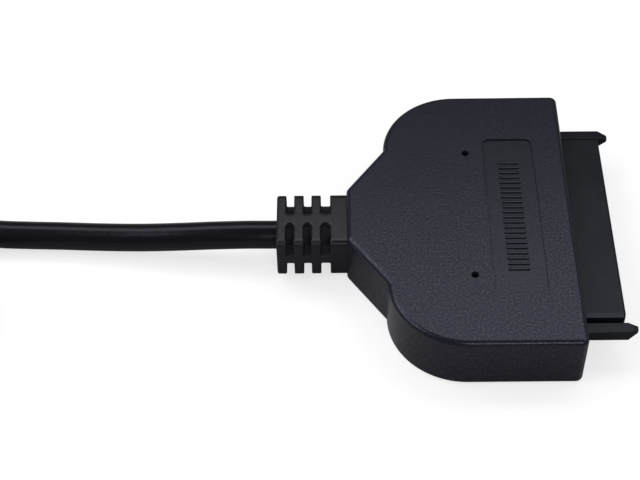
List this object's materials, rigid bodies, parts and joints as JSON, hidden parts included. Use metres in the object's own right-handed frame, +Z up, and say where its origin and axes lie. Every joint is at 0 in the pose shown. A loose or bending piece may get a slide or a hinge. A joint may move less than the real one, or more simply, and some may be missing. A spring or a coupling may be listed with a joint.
{
  "type": "usb to sata adapter",
  "caption": "Flat black moulded adapter with a wide drive connector at its front, a ribbed strain relief at its back and a short cable to a USB plug.",
  "frame": {"origin": "on the surface that the body lies on, under the middle of the body with its strain relief and connector", "axes": "+X towards the drive connector, +Z up out of the top face, Y across the width"},
  "size_m": [0.1977, 0.0646, 0.01],
  "materials": {
    "moulding": "fine matt texture",
    "inner_mould": "plain",
    "connector": "smooth satin",
    "gold": "gold plated",
    "board": "lacquered laminate",
    "chip": "matt resin",
    "tin": "plain",
    "ceramic": "plain",
    "ferrite": "plain",
    "core_insulation": "plain",
    "jacket": "satin",
    "strap": "woven",
    "steel": "satin plated",
    "insulator": "plain"
  },
  "bodies": {
    "root": {"overmould": "moulding", "usb_plug_grip": "moulding", "inner_mould": "inner_mould", "sata_receptacle": "connector", "signal_contact_1": "gold", "signal_contact_2": "gold", "signal_contact_3": "gold", "signal_contact_4": "gold", "signal_contact_5": "gold", "signal_contact_6": "gold", "signal_contact_7": "gold", "power_contact_1": "gold", "power_contact_2": "gold", "power_contact_3": "gold", "power_contact_4": "gold", "power_contact_5": "gold", "power_contact_6": "gold", "power_contact_7": "gold", "power_contact_8": "gold", "power_contact_9": "gold", "power_contact_10": "gold", "power_contact_11": "gold", "power_contact_12": "gold", "power_contact_13": "gold", "power_contact_14": "gold", "power_contact_15": "gold", "usb_contact_1": "gold", "usb_contact_2": "gold", "usb_contact_3": "gold", "usb_contact_4": "gold", "fast_contact_1": "gold", "fast_contact_2": "gold", "fast_contact_3": "gold", "fast_contact_4": "gold", "fast_contact_5": "gold", "circuit_board": "board", "bridge_chip": "chip", "flash_chip": "chip", "regulator": "chip", "crystal": "tin", "capacitor_1": "ceramic", "capacitor_2": "ceramic", "capacitor_3": "ceramic", "capacitor_4": "ceramic", "inductor": "ferrite", "power_core": "core_insulation", "receive_core_1": "core_insulation", "receive_core_2": "core_insulation", "data_core_1": "core_insulation", "data_core_2": "core_insulation", "send_core_1": "core_insulation", "send_core_2": "core_insulation", "ground_core": "core_insulation", "cable": "jacket", "cable_coil": "jacket", "cable_tail": "jacket", "coil_tie": "strap", "usb_plug_shell": "steel", "usb_plug_insulator": "insulator"}
  },
  "joints": []
}
